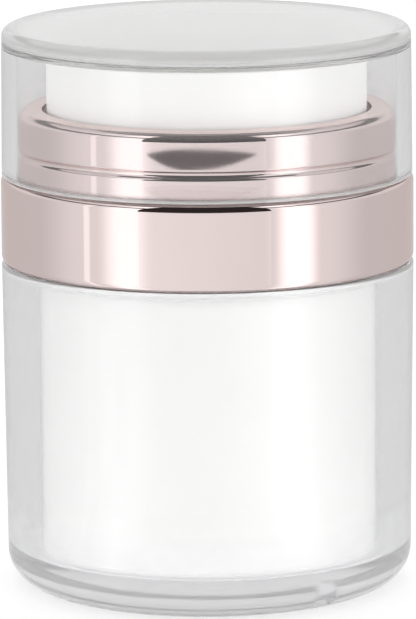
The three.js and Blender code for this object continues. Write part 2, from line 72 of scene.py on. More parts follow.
THREAD_START = 51.45
THREAD_PITCH = 3.0
THREAD_TURNS = 1.25
THREAD_RUN_OUT = 1 / 12
THREAD_DEPTH = 0.9
THREAD_ROOT = 1.1
THREAD_CREST = 0.7
THREAD_ROW = 0.1
THREAD_MARGIN = 0.3

NOTCH_ANGLE = math.radians(306)
NOTCH_INNER = 27.7
NOTCH_OUTER = 29.3
NOTCH_WIDTH = 3.2
NOTCH_TOP = 5.0
NOTCH_DRAFT = 0.06

EDGE_ROUND = 0.1
ARC_STEP = 0.12
ARC_LEAST_STEPS = 6
ARC_ROOM = 0.9
HOLD = 0.06
HOLD_SHARE = 0.04
STRAIGHT = 1e-6
COLUMNS = 256
GRAIN_DETAIL = 3.0
SHADOW_CLEARNESS = (0.992, 0.992, 0.993, 1.0)


def rounded(corners):
    """Profile of a turned piece, in metres, from corners (radius, height, rounding) in millimetres. Each
    corner becomes an arc tangent to both of its edges, and a point just before and after the arc keeps the
    straight beside it flat under smooth shading. Two arcs that would meet on one edge shrink together until
    they fit. A corner on the axis, or between two straights in line, stays a point."""
    spots = np.array([corner[:2] for corner in corners], float)
    wanted = np.array([corner[2] if len(corner) > 2 else EDGE_ROUND for corner in corners])
    edges = np.roll(spots, -1, axis=0) - spots
    lengths = np.linalg.norm(edges, axis=1)
    aheads = edges / lengths[:, None]
    backs = -np.roll(aheads, 1, axis=0)
    halves = np.arccos(np.clip((backs * aheads).sum(axis=1), -1.0, 1.0)) / 2
    plain = (spots[:, 0] == 0.0) | (np.pi - 2 * halves < STRAIGHT)
    reaches = np.where(plain, 0.0, wanted / np.tan(halves))
    fits = np.minimum(1.0, ARC_ROOM * lengths / np.maximum(reaches + np.roll(reaches, -1), STRAIGHT))
    reaches = reaches * np.minimum(fits, np.roll(fits, 1))
    holds = np.minimum(HOLD, HOLD_SHARE * np.minimum(lengths, np.roll(lengths, 1)))
    parts = []
    for tip, back, ahead, half, reach, hold in zip(spots, backs, aheads, halves, reaches, holds):
        if reach == 0.0:
            parts.append(tip[None])
            continue
        turn = np.pi - 2 * half
        arc_radius = reach * np.tan(half)
        centre = tip + (back + ahead) * reach / (2 * np.cos(half) ** 2)
        spoke = tip + back * reach - centre
        across = np.array([-spoke[1], spoke[0]])
        way = np.sign(ahead[0] * back[1] - ahead[1] * back[0])
        steps = max(ARC_LEAST_STEPS, int(np.ceil(turn * arc_radius / ARC_STEP)))
        swing = way * turn * np.linspace(0.0, 1.0, steps + 1)[:, None]
        before = tip + back * (reach + hold)
        after = tip + ahead * (reach + hold)
        parts += [before[None], centre + spoke * np.cos(swing) + across * np.sin(swing), after[None]]
    return MM * np.vstack(parts)


def mesh_piece(name, points, faces):
    """Smooth-shaded object at the origin from an array of points and a list of faces."""
    mesh = bpy.data.meshes.new(name)
    mesh.from_pydata(points.tolist(), [], faces)
    mesh.shade_smooth()
    piece = bpy.data.objects.new(name, mesh)
    bpy.context.collection.objects.link(piece)
    return piece


def turned(name, profile, around=None, shaped=None, extra=None):
    """Surface of revolution of a profile that runs anticlockwise in radius and height: ring i, column j is
    point i at angle j, with x = r cos a and y = r sin a. shaped(r, z, a) may move the grid in or out and up
    or down. A profile that starts or ends on the axis closes there in a fan, and any other closes on its own
    first ring. extra is a pair of points and faces that are added to the same mesh."""
    angles = np.linspace(0.0, 2 * np.pi, COLUMNS, endpoint=False) if around is None else around
    on_axis = profile[:, 0] == 0.0
    rings = profile[~on_axis]
    radius, angle = np.meshgrid(rings[:, 0], angles, indexing="ij")
    height = np.repeat(rings[:, 1:], len(angles), axis=1)
    if shaped:
        radius, height = shaped(radius, height, angle)
    grid = np.stack([radius * np.cos(angle), radius * np.sin(angle), height], axis=-1).reshape(-1, 3)
    index = np.arange(len(grid)).reshape(radius.shape)
    beside = np.roll(index, -1, axis=1)
    last = None if not on_axis.any() else -1
    above = np.roll(index, -1, axis=0)[:last]
    beside_above = np.roll(beside, -1, axis=0)[:last]
    faces = np.stack([index[:last], beside[:last], beside_above, above], axis=-1).reshape(-1, 4).tolist()
    points = [grid]
    if on_axis[0]:
        tip = np.full(len(angles), len(grid))
        points.append(np.array([[0.0, 0.0, profile[0, 1]]]))
        faces += np.stack([tip, beside[0], index[0]], axis=-1).tolist()
    if on_axis[-1]:
        tip = np.full(len(angles), sum(map(len, points)))
        points.append(np.array([[0.0, 0.0, profile[-1, 1]]]))
        faces += np.stack([index[-1], beside[-1], tip], axis=-1).tolist()
    if extra:
        faces += (np.array(extra[1]) + sum(map(len, points))).tolist()
        points.append(extra[0])
    return mesh_piece(name, np.vstack(points), faces)


def thread_rise(height, angle, start_angle, start):
    """How far the screw rib stands out, 0 to 1: a trapezoid of the distance from a helix that climbs one
    pitch a turn, faded in and out over the run-out at its two ends."""
    rise = np.zeros_like(height)
    for lap in range(math.ceil(THREAD_TURNS)):
        turn = np.mod(angle - start_angle, 2 * np.pi) / (2 * np.pi) + lap
        end = np.clip(np.minimum(turn, THREAD_TURNS - turn) / THREAD_RUN_OUT, 0.0, 1.0)
        away = np.abs(height / MM - start - THREAD_PITCH * turn)
        flank = np.clip((THREAD_ROOT / 2 - away) / (THREAD_ROOT / 2 - THREAD_CREST / 2), 0.0, 1.0)
        rise = np.maximum(rise, end * flank)
    return rise


def jar_details(radius, height, angle):
    """On the neck the radius grows by the thread's rise. Under the foot, inside the notch's plan, the height
    goes up to the notch's roof, over a short draft at its four walls."""
    on_neck = np.abs(radius / MM - JAR_NECK_RADIUS) < EDGE_ROUND / 2
    thread = thread_rise(height, angle, 0.0, THREAD_START) * on_neck
    middle = (NOTCH_INNER + NOTCH_OUTER) / 2
    aside = np.abs(np.mod(angle - NOTCH_ANGLE + np.pi, 2 * np.pi) - np.pi) * middle
    outward = np.abs(radius / MM - middle)
    across = np.clip((NOTCH_WIDTH / 2 - aside) / NOTCH_DRAFT, 0.0, 1.0)
    along = np.clip(((NOTCH_OUTER - NOTCH_INNER) / 2 - outward) / NOTCH_DRAFT, 0.0, 1.0)
    lift = np.clip(NOTCH_TOP * MM - height, 0.0, None) * across * along
    return radius + THREAD_DEPTH * MM * thread, height + lift


def surface_grain(name, scale, colours, roughness, bump, sockets, stretch=(1.0, 1.0, 1.0)):
    """Material with the unevenness that a moulded or drawn surface has: one noise over Object coordinates, of
    scale features to the metre, mixes two close colours, moves the roughness between two values, and is the
    height of a bump. The other sockets get plain values."""
    material = bpy.data.materials.new(name)
    material.use_nodes = True
    nodes = material.node_tree.nodes
    links = material.node_tree.links
    shader = nodes["Principled BSDF"]
    for socket, value in sockets.items():
        shader.inputs[socket].default_value = value
    place = nodes.new("ShaderNodeTexCoord")
    fit = nodes.new("ShaderNodeMapping")
    fit.inputs["Scale"].default_value = stretch
    noise = nodes.new("ShaderNodeTexNoise")
    noise.inputs["Scale"].default_value = scale
    noise.inputs["Detail"].default_value = GRAIN_DETAIL
    tint = nodes.new("ShaderNodeMix")
    tint.data_type = "RGBA"
    tint.inputs["A"].default_value = (*colours[0], 1.0)
    tint.inputs["B"].default_value = (*colours[1], 1.0)
    sheen = nodes.new("ShaderNodeMapRange")
    sheen.inputs["To Min"].default_value = roughness[0]
    sheen.inputs["To Max"].default_value = roughness[1]
    relief = nodes.new("ShaderNodeBump")
    relief.inputs["Strength"].default_value = 1.0
    relief.inputs["Distance"].default_value = bump * MM
    links.new(place.outputs["Object"], fit.inputs["Vector"])
    links.new(fit.outputs["Vector"], noise.inputs["Vector"])
    links.new(noise.outputs["Fac"], tint.inputs["Factor"])
    links.new(noise.outputs["Fac"], sheen.inputs["Value"])
    links.new(noise.outputs["Fac"], relief.inputs["Height"])
    links.new(tint.outputs["Result"], shader.inputs["Base Color"])
    links.new(sheen.outputs["Result"], shader.inputs["Roughness"])
    links.new(relief.outputs["Normal"], shader.inputs["Normal"])
    return material


def let_lamps_through(material):
    """Lamps shine straight through the clear plastic: shadow rays meet a Transparent shader instead."""
    nodes = material.node_tree.nodes
    links = material.node_tree.links
    path = nodes.new("ShaderNodeLightPath")
    open_way = nodes.new("ShaderNodeBsdfTransparent")
    open_way.inputs["Color"].default_value = SHADOW_CLEARNESS
    either = nodes.new("ShaderNodeMixShader")
    links.new(path.outputs["Is Shadow Ray"], either.inputs["Fac"])
    links.new(nodes["Principled BSDF"].outputs["BSDF"], either.inputs[1])
    links.new(open_way.outputs["BSDF"], either.inputs[2])
    links.new(either.outputs["Shader"], nodes["Material Output"].inputs["Surface"])
    return material


def clouded(material, lower, upper, transmission, colour):
    """The clear plastic lets less through where its moulding left haze, at its two ends: from the first
    height of each pair to the second the transmission goes from its first value to its second, and the tint
    goes over to colour. On the cap that colour is a grey of painted shade."""
    nodes = material.node_tree.nodes
    links = material.node_tree.links
    shader = nodes["Principled BSDF"]
    split = nodes.new("ShaderNodeSeparateXYZ")
    links.new(nodes["Texture Coordinate"].outputs["Object"], split.inputs["Vector"])
    share = nodes.new("ShaderNodeMath")
    share.operation = "MAXIMUM"
    for place, (clear_height, cloudy_height) in enumerate((lower, upper)):
        end = nodes.new("ShaderNodeMapRange")
        end.inputs["From Min"].default_value = clear_height * MM
        end.inputs["From Max"].default_value = cloudy_height * MM
        links.new(split.outputs["Z"], end.inputs["Value"])
        links.new(end.outputs["Result"], share.inputs[place])
    haze = nodes.new("ShaderNodeMapRange")
    haze.inputs["To Min"].default_value = transmission[0]
    haze.inputs["To Max"].default_value = transmission[1]
    tint = nodes.new("ShaderNodeMix")
    tint.data_type = "RGBA"
    tint.inputs["B"].default_value = (*colour, 1.0)
    links.new(share.outputs["Value"], haze.inputs["Value"])
    links.new(haze.outputs["Result"], shader.inputs["Transmission Weight"])
    links.new(share.outputs["Value"], tint.inputs["Factor"])
    links.new(nodes["Mix"].outputs["Result"], tint.inputs["A"])
    links.new(tint.outputs["Result"], shader.inputs["Base Color"])
    return material


def clear_acrylic(name, roughness):
    """Polished clear acrylic with the given least and greatest roughness."""
    return let_lamps_through(surface_grain(
        name,
        scale=60.0,
        colours=((0.98, 0.98, 0.983), (0.987, 0.987, 0.99)),
        roughness=roughness,
        bump=0.002,
        sockets={"IOR": 1.49, "Transmission Weight": 1.0},
    ))


jar_acrylic = clouded(
    clear_acrylic("jar_acrylic", roughness=(0.03, 0.07)),
    lower=JAR_FOOT_HAZE,
    upper=JAR_SHOULDER_HAZE,
    transmission=(0.97, 0.67),
    colour=(0.98, 0.98, 0.99),
)

neck_rows = np.arange(JAR_SHOULDER + THREAD_MARGIN, JAR_NECK_TOP - THREAD_MARGIN, THREAD_ROW)
notch_half = NOTCH_WIDTH / (NOTCH_INNER + NOTCH_OUTER)
notch_walls = notch_half - np.array([0.0, 2 * NOTCH_DRAFT / (NOTCH_INNER + NOTCH_OUTER)])
jar_columns = np.unique(np.concatenate([
    np.linspace(0.0, 2 * np.pi, COLUMNS, endpoint=False),
    NOTCH_ANGLE + notch_walls,
    NOTCH_ANGLE - notch_walls,
]))
jar = turned("clear_jar", rounded([
    (0.0, JAR_RECESS_DEPTH),
    (JAR_RECESS_RADIUS - JAR_RECESS_SLOPE, JAR_RECESS_DEPTH),
    (JAR_RECESS_RADIUS, 0.0),
    (JAR_FOOT_RADIUS, 0.0, JAR_FOOT_ROUND),
    (JAR_SHOULDER_RADIUS, JAR_SHOULDER, JAR_SHOULDER_ROUND),
    (JAR_NECK_RADIUS, JAR_SHOULDER),
    *[(JAR_NECK_RADIUS, row) for row in neck_rows],
    (JAR_NECK_RADIUS, JAR_NECK_TOP),
    (JAR_BORE, JAR_NECK_TOP),
    (JAR_BORE, JAR_FLOOR, JAR_FLOOR_ROUND),
    (0.0, JAR_FLOOR),
]), around=jar_columns, shaped=jar_details)
jar.data.materials.append(jar_acrylic)
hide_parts("outer_jar")
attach(jar, "jar")


# Inner cup: the white polypropylene cup that holds the cream. It hangs on the jar's neck by its rim, with a
# thin air gap all round, and lets air in under the rising piston through a vent in its floor.
CUP_RADIUS = 25.1
CUP_BORE = 23.5
CUP_UNDER = 5.8
CUP_FLOOR = 7.3
CUP_CORNER_ROUND = 1.2
CUP_VENT_RADIUS = 1.5
CUP_RIM_RADIUS = 26.4
CUP_RIM_TOP = 57.2
SEAT_GAP = 0.02

white_plastic = surface_grain(
    "white_plastic",
    scale=900.0,
    colours=((0.915, 0.915, 0.905), (0.935, 0.935, 0.925)),
    roughness=(0.28, 0.4),
    bump=0.0015,
    sockets={"IOR": 1.49},
)

cup = turned("white_cup", rounded([
    (CUP_VENT_RADIUS, CUP_UNDER),
    (CUP_RADIUS, CUP_UNDER, CUP_CORNER_ROUND),
    (CUP_RADIUS, JAR_NECK_TOP + SEAT_GAP),
    (CUP_RIM_RADIUS, JAR_NECK_TOP + SEAT_GAP),
    (CUP_RIM_RADIUS, CUP_RIM_TOP),
    (CUP_BORE, CUP_RIM_TOP),
    (CUP_BORE, CUP_FLOOR),
    (CUP_VENT_RADIUS, CUP_FLOOR),
]))
cup.data.materials.append(white_plastic)
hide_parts("inner_cup")
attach(cup, "jar")


# Rising piston: a natural polypropylene moulding that wipes the cup with a lip at its top and its bottom, and
# follows the cream upwards. The well in its middle takes the pump's inlet at the end of its travel.
FOLLOWER_LIP_RADIUS = 23.4
FOLLOWER_LIP_WIDTH = 0.8
FOLLOWER_WAIST_RADIUS = 22.9
FOLLOWER_SKIRT_BORE = 21.7
FOLLOWER_SKIRT_RISE = 1.5
FOLLOWER_WALL = 1.2
FOLLOWER_LIFT = 1.0
FOLLOWER_PLATE_TOP = 11.333
FOLLOWER_LIP_RISE = 1.3
FOLLOWER_WELL_RADIUS = 7.4

natural_plastic = surface_grain(
    "natural_plastic",
    scale=500.0,
    colours=((0.74, 0.74, 0.71), (0.8, 0.8, 0.77)),
    roughness=(0.42, 0.58),
    bump=0.004,
    sockets={"IOR": 1.49, "Subsurface Weight": 0.15, "Subsurface Scale": 0.001},
)

follower_plate_under = FOLLOWER_PLATE_TOP - FOLLOWER_WALL
follower_lip_top = FOLLOWER_PLATE_TOP + FOLLOWER_LIP_RISE
follower_lip_bore = FOLLOWER_LIP_RADIUS - FOLLOWER_LIP_WIDTH
follower_well_outside = FOLLOWER_WELL_RADIUS + FOLLOWER_WALL
follower = turned("cream_follower", rounded([(radius, CUP_FLOOR + height) for radius, height in (
    (0.0, FOLLOWER_LIFT),
    (follower_well_outside, FOLLOWER_LIFT),
    (follower_well_outside, follower_plate_under),
    (FOLLOWER_SKIRT_BORE, follower_plate_under),
    (FOLLOWER_SKIRT_BORE, FOLLOWER_SKIRT_RISE),
    (follower_lip_bore, 0.0),
    (FOLLOWER_LIP_RADIUS, 0.0),
    (FOLLOWER_WAIST_RADIUS, FOLLOWER_SKIRT_RISE),
    (FOLLOWER_WAIST_RADIUS, FOLLOWER_PLATE_TOP),
    (FOLLOWER_LIP_RADIUS, follower_lip_top),
    (follower_lip_bore, follower_lip_top),
    (FOLLOWER_SKIRT_BORE, FOLLOWER_PLATE_TOP),
    (FOLLOWER_WELL_RADIUS, FOLLOWER_PLATE_TOP),
    (FOLLOWER_WELL_RADIUS, FOLLOWER_LIFT + FOLLOWER_WALL),
    (0.0, FOLLOWER_LIFT + FOLLOWER_WALL),
)]))
follower.data.materials.append(natural_plastic)
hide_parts("follower_piston")
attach(follower, "follower")


# Pump engine: seal, housing, lock ring, stem, piston rod, piston and outlet valve, snapped together inside
# the collar and the button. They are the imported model's own solids, and get their plastics' finish here.
soft_seal = surface_grain(
    "soft_seal",
    scale=700.0,
    colours=((0.8, 0.78, 0.74), (0.86, 0.84, 0.8)),
    roughness=(0.62, 0.8),
    bump=0.006,
    sockets={"IOR": 1.43},
)

for node, finish in {
    "pump_gasket": soft_seal,
    "outlet_valve": soft_seal,
    "pump_housing": natural_plastic,
    "lock_ring": natural_plastic,
    "stem": natural_plastic,
    "piston_rod": natural_plastic,
    "pump_piston": natural_plastic,
}.items():
    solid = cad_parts[node].data
    solid.materials.clear()
    solid.materials.append(finish)


# Inlet ball: a ground stainless-steel check ball. It drops onto the cone in the housing's inlet, and lifts
# off it when the pump draws cream.
BALL_RADIUS = 1.5
BALL_STEPS = 32

spring_steel = surface_grain(
    "spring_steel",
    scale=260.0,
    colours=((0.56, 0.57, 0.58), (0.64, 0.65, 0.66)),
    roughness=(0.18, 0.32),
    bump=0.003,
    sockets={"Metallic": 1.0},
    stretch=(1.0, 1.0, 6.0),
)

ball_low, ball_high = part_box("inlet_ball")
ball_middle = (ball_low.z + ball_high.z) / 2
ball_swing = np.linspace(0.0, np.pi, BALL_STEPS + 1)
ball_profile = np.stack([
    BALL_RADIUS * MM * np.sin(ball_swing),
    ball_middle - BALL_RADIUS * MM * np.cos(ball_swing),
], axis=-1)
ball_profile[[0, -1], 0] = 0.0
ball = turned("steel_ball", ball_profile)
ball.data.materials.append(spring_steel)
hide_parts("inlet_ball")
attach(ball, "ball")


# Return spring: stainless wire coiled round the button's boss between the lock ring and the button, with one
# closed turn at each end. In use it shortens with the button's stroke; this mesh is built at one length.
SPRING_SEAT = 68.0
SPRING_SEAT_GAP = 0.1
SPRING_TOP = 79.1
SPRING_RADIUS = 5.5
SPRING_WIRE = 0.45
SPRING_TURNS = 6
SPRING_END_TURNS = 1
SPRING_END_PITCH = 1.35
SPRING_STEPS = 48
SPRING_SIDES = 16


def coiled(name):
    """Tube along a helix: at turn t the centre line is at angle 2 pi t and at a height that climbs by the
    closed pitch in the end turns and by the open pitch between them. The tube's ring lies in the radial
    direction and in the direction square to it and to the helix."""
    first = SPRING_SEAT + SPRING_SEAT_GAP + SPRING_WIRE
    length = SPRING_TOP - SPRING_SEAT - 2 * (SPRING_SEAT_GAP + SPRING_WIRE)
    open_turns = SPRING_TURNS - 2 * SPRING_END_TURNS
    open_pitch = (length - 2 * SPRING_END_TURNS * SPRING_END_PITCH) / open_turns
    turn = np.linspace(0.0, SPRING_TURNS, SPRING_TURNS * SPRING_STEPS + 1)
    opened = np.clip(turn - SPRING_END_TURNS, 0.0, open_turns)
    rise = first + open_pitch * opened + SPRING_END_PITCH * (turn - opened)
    angle = 2 * np.pi * turn
    outward = np.stack([np.cos(angle), np.sin(angle), np.zeros_like(angle)], axis=-1)
    centre = SPRING_RADIUS * outward
    centre[:, 2] = rise
    ahead = np.gradient(centre, axis=0)
    square = np.cross(ahead, outward)
    square = square / np.linalg.norm(square, axis=1, keepdims=True)
    ring = np.linspace(0.0, 2 * np.pi, SPRING_SIDES, endpoint=False)[:, None]
    wire = centre[:, None] + SPRING_WIRE * (np.cos(ring) * outward[:, None] - np.sin(ring) * square[:, None])
    index = np.arange(wire.shape[0] * SPRING_SIDES).reshape(-1, SPRING_SIDES)
    beside = np.roll(index, -1, axis=1)
    faces = np.stack([index[:-1], index[1:], beside[1:], beside[:-1]], axis=-1).reshape(-1, 4).tolist()
    faces += [index[0].tolist(), index[-1, ::-1].tolist()]
    return mesh_piece(name, MM * wire.reshape(-1, 3), faces)


spring = coiled("coil_spring")
spring.data.materials.append(spring_steel)
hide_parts("return_spring")
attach(spring, "closure")
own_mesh(spring)


# Collar core: the plain threaded core that is pressed into the metallised sleeve. Its web holds the pump's
# flange down on the seal, and a snap bead under the flange keeps the pump in the collar.
CORE_BORE = 28.3
CORE_RADIUS = 29.3
CORE_BOTTOM = 50.0
CORE_TOP = 60.9
CORE_WEB_BORE = 21.0
CORE_WEB_UNDER = 59.6
CORE_BEAD_BORE = 26.6
CORE_BEAD_TOP = 57.9
CORE_BEAD_BOTTOM = 57.4
CORE_THREAD_ANGLE = math.pi / 2
CORE_THREAD_START = THREAD_START - THREAD_PITCH / 4


def core_thread(radius, height, angle):
    """In the bore the radius shrinks by the thread's rise."""
    in_bore = np.abs(radius / MM - CORE_BORE) < EDGE_ROUND / 2
    rise = thread_rise(height, angle, CORE_THREAD_ANGLE, CORE_THREAD_START) * in_bore
    return radius - THREAD_DEPTH * MM * rise, height


bore_rows = np.arange(CORE_BEAD_BOTTOM - THREAD_MARGIN, CORE_BOTTOM + THREAD_MARGIN, -THREAD_ROW)
core = turned("screw_core", rounded([
    (CORE_BORE, CORE_BOTTOM),
    (CORE_RADIUS, CORE_BOTTOM),
    (CORE_RADIUS, CORE_TOP),
    (CORE_WEB_BORE, CORE_TOP),
    (CORE_WEB_BORE, CORE_WEB_UNDER),
    (CORE_BORE, CORE_WEB_UNDER),
    (CORE_BORE, CORE_BEAD_TOP),
    (CORE_BEAD_BORE, CORE_BEAD_TOP),
    (CORE_BEAD_BORE, CORE_BEAD_BOTTOM),
    (CORE_BORE, CORE_BEAD_BOTTOM),
    *[(CORE_BORE, row) for row in bore_rows],
]), shaped=core_thread)
core.data.materials.append(natural_plastic)
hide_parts("collar_core")
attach(core, "closure")


# Collar sleeve: moulded plastic with a vacuum-metallised mirror coat of pale rose gold. A wide band covers
# the jar's neck, its ledge carries the overcap, and the collar above it has a groove for the cap's grip.
BAND_BORE = 29.6
BAND_RADIUS = 31.0
BAND_BOTTOM = 49.5
BAND_BOTTOM_ROUND = 1.0
BAND_TOP_ROUND = 1.2
LEDGE = 62.6
LEDGE_UNDER = 61.2
COLLAR_RADIUS = 28.4
COLLAR_BORE = 26.9
COLLAR_TOP = 72.8
COLLAR_TOP_ROUND = 1.4
COLLAR_PLATE_UNDER = 71.3
COLLAR_HOLE = 24.65
COLLAR_HOLE_ROUND = 0.2
GROOVE_BOTTOM = 65.9
GROOVE_TOP = 67.2
GROOVE_RADIUS = 27.8
GROOVE_ROUND = 0.45

rose_gold = surface_grain(
    "rose_gold",
    scale=120.0,
    colours=((0.775, 0.665, 0.65), (0.79, 0.68, 0.665)),
    roughness=(0.012, 0.03),
    bump=0.0004,
    sockets={"Metallic": 1.0, "Specular Tint": (0.94, 0.87, 0.85, 1.0)},
)

sleeve = turned("rose_sleeve", rounded([
    (BAND_BORE, BAND_BOTTOM),
    (BAND_RADIUS, BAND_BOTTOM, BAND_BOTTOM_ROUND),
    (BAND_RADIUS, LEDGE, BAND_TOP_ROUND),
    (COLLAR_RADIUS, LEDGE),
    (COLLAR_RADIUS, GROOVE_BOTTOM, GROOVE_ROUND),
    (GROOVE_RADIUS, (GROOVE_BOTTOM + GROOVE_TOP) / 2, GROOVE_ROUND),
    (COLLAR_RADIUS, GROOVE_TOP, GROOVE_ROUND),
    (COLLAR_RADIUS, COLLAR_TOP, COLLAR_TOP_ROUND),
    (COLLAR_HOLE, COLLAR_TOP, COLLAR_HOLE_ROUND),
    (COLLAR_HOLE, COLLAR_PLATE_UNDER),
    (COLLAR_BORE, COLLAR_PLATE_UNDER),
    (COLLAR_BORE, LEDGE_UNDER),
    (BAND_BORE, LEDGE_UNDER),
]))
sleeve.data.materials.append(rose_gold)
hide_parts("collar_sleeve")
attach(sleeve, "closure")


# Press button: one white polypropylene moulding. A flange under the collar's plate keeps it in, its top is
# dished round the outlet, and a boss and six ribs stiffen it underneath.
BUTTON_RADIUS = 24.0
BUTTON_BORE = 22.5
BUTTON_TOP = 81.6
BUTTON_ROUND = 0.8
BUTTON_RIM = 1.8
BUTTON_FLANGE_RADIUS = 26.3
BUTTON_FLANGE_TOP = 71.0
BUTTON_BOTTOM = 69.6
DISH_TOP = 80.6
DISH_UNDER = 79.1
OUTLET_RADIUS = 1.7
BOSS_BORE = 2.75
BOSS_RADIUS = 4.4
BOSS_BOTTOM = 73.4
RIB_COUNT = 6
RIB_INNER = 7.0
RIB_OUTER = 22.8
RIB_BOTTOM = 75.1
RIB_TOP = 79.4
RIB_WIDTH = 1.0


def radial_ribs():
    """Boxes that point away from the axis: the eight corners of one rib, turned to each of the evenly spaced
    angles. Returns the points and faces."""
    along, across, up = np.meshgrid(
        (RIB_INNER, RIB_OUTER), (-RIB_WIDTH / 2, RIB_WIDTH / 2), (RIB_BOTTOM, RIB_TOP), indexing="ij")
    angle = (2 * np.pi * np.arange(RIB_COUNT) / RIB_COUNT)[:, None]
    x = along.ravel() * np.cos(angle) - across.ravel() * np.sin(angle)
    y = along.ravel() * np.sin(angle) + across.ravel() * np.cos(angle)
    z = np.broadcast_to(up.ravel(), x.shape)
    sides = np.array([(0, 1, 3, 2), (4, 6, 7, 5), (0, 4, 5, 1), (2, 3, 7, 6), (0, 2, 6, 4), (1, 5, 7, 3)])
    faces = (sides + along.size * np.arange(RIB_COUNT)[:, None, None]).reshape(-1, 4)
    return MM * np.stack([x, y, z], axis=-1).reshape(-1, 3), faces


button = turned("press_button_top", rounded([
    (BUTTON_BORE, BUTTON_BOTTOM),
    (BUTTON_FLANGE_RADIUS, BUTTON_BOTTOM),
    (BUTTON_FLANGE_RADIUS, BUTTON_FLANGE_TOP),
    (BUTTON_RADIUS, BUTTON_FLANGE_TOP),
    (BUTTON_RADIUS, BUTTON_TOP, BUTTON_ROUND),
    (BUTTON_RADIUS - BUTTON_RIM, BUTTON_TOP, BUTTON_RIM),
    (OUTLET_RADIUS, DISH_TOP),
    (OUTLET_RADIUS, DISH_UNDER),
    (BOSS_BORE, DISH_UNDER),
    (BOSS_BORE, BOSS_BOTTOM),
    (BOSS_RADIUS, BOSS_BOTTOM),
    (BOSS_RADIUS, DISH_UNDER),
    (BUTTON_BORE, DISH_UNDER),
]), extra=radial_ribs())
button.data.materials.append(white_plastic)
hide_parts("press_button")
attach(button, "actuator")


# Overcap: a thick clear acrylic cap with a faintly crowned top, moulded with a little draft, and hazy in its
# top and at its rim, where the haze's grey tint is painted shade that darkens the top and the rim. It is a
# friction fit over the collar and stands on the sleeve's ledge.
CAP_RADIUS = 30.85
CAP_BORE = 28.65
CAP_DRAFT = 0.2
CAP_UNDER = 82.4
CAP_TOP = 84.8
CAP_CROWN = 0.2
CAP_ROUND = 1.5
CAP_INNER_ROUND = 1.0
CAP_RIM_ROUND = 0.12
CAP_RIM_HAZE_AND_SHADE = (63.2, 62.6)
CAP_TOP_HAZE_AND_SHADE = (82.9, 83.4)

# Haze and painted shade: the grey that the cap turns to at its top and rim is painted shade that darkens
# them.
cap_acrylic = clouded(
    clear_acrylic("cap_acrylic", roughness=(0.0, 0.015)),
    lower=CAP_RIM_HAZE_AND_SHADE,
    upper=CAP_TOP_HAZE_AND_SHADE,
    transmission=(1.0, 0.45),
    colour=(0.835, 0.83, 0.825),
)

cap = turned("clear_cap", rounded([
    (0.0, CAP_UNDER),
    (CAP_BORE - CAP_DRAFT, CAP_UNDER, CAP_INNER_ROUND),
    (CAP_BORE, LEDGE + SEAT_GAP),
    (CAP_RADIUS, LEDGE + SEAT_GAP, CAP_RIM_ROUND),
    (CAP_RADIUS - CAP_DRAFT, CAP_TOP, CAP_ROUND),
    (0.0, CAP_TOP + CAP_CROWN),
]))
cap.data.materials.append(cap_acrylic)
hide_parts("overcap")
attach(cap, "cap")


# Floor: a plain white table that runs on into the white background. It is lit as any surface is and keeps the
# jar's shadow, and a little light of its own, for what the camera, metal and glass see, lifts it to white.
FLOOR_HALF = 4.0
FLOOR_DROP = 0.00005
FLOOR_WHITE = 0.5
FLOOR_LIFT = 0.54


def seen_rays(nodes, links):
    """1 for rays from the camera, from a mirror reflection or through glass, and 0 for all others."""
    path = nodes.new("ShaderNodeLightPath")
    either = nodes.new("ShaderNodeMath")
    either.operation = "ADD"
    any_of = nodes.new("ShaderNodeMath")
    any_of.operation = "ADD"
    any_of.use_clamp = True
    links.new(path.outputs["Is Camera Ray"], either.inputs[0])
    links.new(path.outputs["Is Glossy Ray"], either.inputs[1])
    links.new(either.outputs["Value"], any_of.inputs[0])
    links.new(path.outputs["Is Transmission Ray"], any_of.inputs[1])
    return any_of.outputs["Value"]


floor_corners = FLOOR_HALF * np.array([(-1, -1, 0), (1, -1, 0), (1, 1, 0), (-1, 1, 0)], float)
floor_corners[:, 2] = -FLOOR_DROP
floor = mesh_piece("floor", floor_corners, [(0, 1, 2, 3)])
table_white = bpy.data.materials.new("table_white")
table_white.use_nodes = True
floor_nodes = table_white.node_tree.nodes
floor_links = table_white.node_tree.links
floor_shader = floor_nodes["Principled BSDF"]
floor_shader.inputs["Base Color"].default_value = (FLOOR_WHITE, FLOOR_WHITE, FLOOR_WHITE, 1.0)
floor_shader.inputs["Roughness"].default_value = 1.0
floor_shader.inputs["Specular IOR Level"].default_value = 0.0
floor_glow = floor_nodes.new("ShaderNodeEmission")
floor_share = floor_nodes.new("ShaderNodeMath")
floor_share.operation = "MULTIPLY"
floor_share.inputs[1].default_value = FLOOR_LIFT
floor_sum = floor_nodes.new("ShaderNodeAddShader")
floor_links.new(seen_rays(floor_nodes, floor_links), floor_share.inputs[0])
floor_links.new(floor_share.outputs["Value"], floor_glow.inputs["Strength"])
floor_links.new(floor_shader.outputs["BSDF"], floor_sum.inputs[0])
floor_links.new(floor_glow.outputs["Emission"], floor_sum.inputs[1])
floor_links.new(floor_sum.outputs["Shader"], floor_nodes["Material Output"].inputs["Surface"])
floor.data.materials.append(table_white)


# Room and lamps: an even white room, one wide softbox overhead and one at each of four corners, all soft and
# white. Metal and clear plastic mirror the glowing sheets of the next two sections, painted reflections that
# light nothing.
ROOM_LIGHT = 0.62
SOFTBOX_AIM = Vector((0.0, 0.0, 0.045))
TOP_SOFTBOX_PLACE = (0.0, 0.1, 1.1)
TOP_SOFTBOX_WIDTH = 0.9
TOP_SOFTBOX_RADIANCE = 1.45
SIDE_SOFTBOX_ASIDE = 0.69
SIDE_SOFTBOX_AHEAD = 0.83
SIDE_SOFTBOX_HEIGHT = 0.26
SIDE_SOFTBOX_WIDTH = 0.5
SIDE_SOFTBOX_RADIANCE = 3.95

